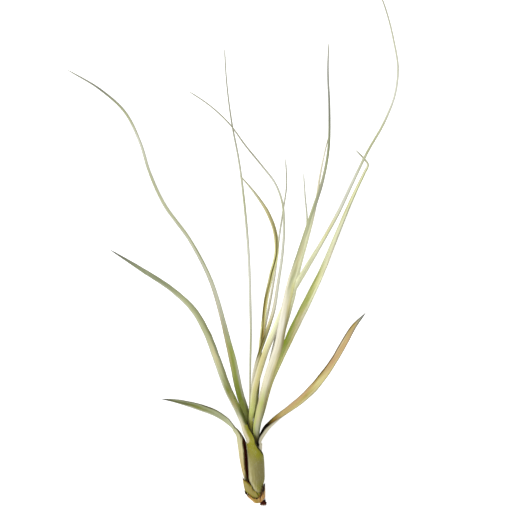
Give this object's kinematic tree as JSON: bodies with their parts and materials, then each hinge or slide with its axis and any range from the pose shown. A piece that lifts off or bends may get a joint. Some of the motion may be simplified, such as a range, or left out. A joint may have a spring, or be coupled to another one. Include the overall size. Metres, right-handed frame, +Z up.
{
  "type": "air plant",
  "caption": "Bare narrow-leaved air plant lying on its back: woody foot, papery old leaf bases, a tube of sheaths and a loose fan of long channelled leaves.",
  "frame": {"origin": "middle of the underside of the plant's box, on the surface that it lies on", "axes": "+X to the plant's right as seen from above, +Y from its broken foot to its leaf tips, +Z up from the surface"},
  "size_m": [0.1822, 0.2874, 0.073],
  "materials": {
    "stem_wood": "rough dark red-brown broken stem",
    "papery_base": "dry orange-tan papery leaf base with a torn dark margin",
    "olive_base": "satin olive old leaf base with a dark margin",
    "leaf_silver": "matt scaly silver-olive leaf, green and speckled at its sheath",
    "leaf_sage": "matt scaly sage leaf",
    "leaf_tan": "matt tan leaf with a brown-black inner face at its root",
    "leaf_green": "satin green channel with pale scaly edges",
    "leaf_lime": "satin pale yellow-green leaf, grey at its tip",
    "leaf_gold": "satin gold-brown leaf with yellow edges",
    "leaf_grey": "matt pale leaf with a scaly grey tip"
  },
  "bodies": {
    "root": {"stem": "stem_wood", "foot_collar": "papery_base", "olive_cup": "olive_base", "leaf_left_arch": "leaf_silver", "leaf_lower_left": "leaf_sage", "leaf_right_tan": "leaf_tan", "leaf_left_long": "leaf_green", "leaf_centre_front": "leaf_silver", "leaf_top_right_long": "leaf_lime", "leaf_right_green": "leaf_green", "leaf_brown_gold": "leaf_gold", "leaf_thin_straight": "leaf_sage", "leaf_thin_arc": "leaf_lime", "leaf_grey_tip": "leaf_grey", "leaf_grey_tip_right": "leaf_grey", "leaf_behind_centre": "leaf_lime"}
  },
  "joints": []
}
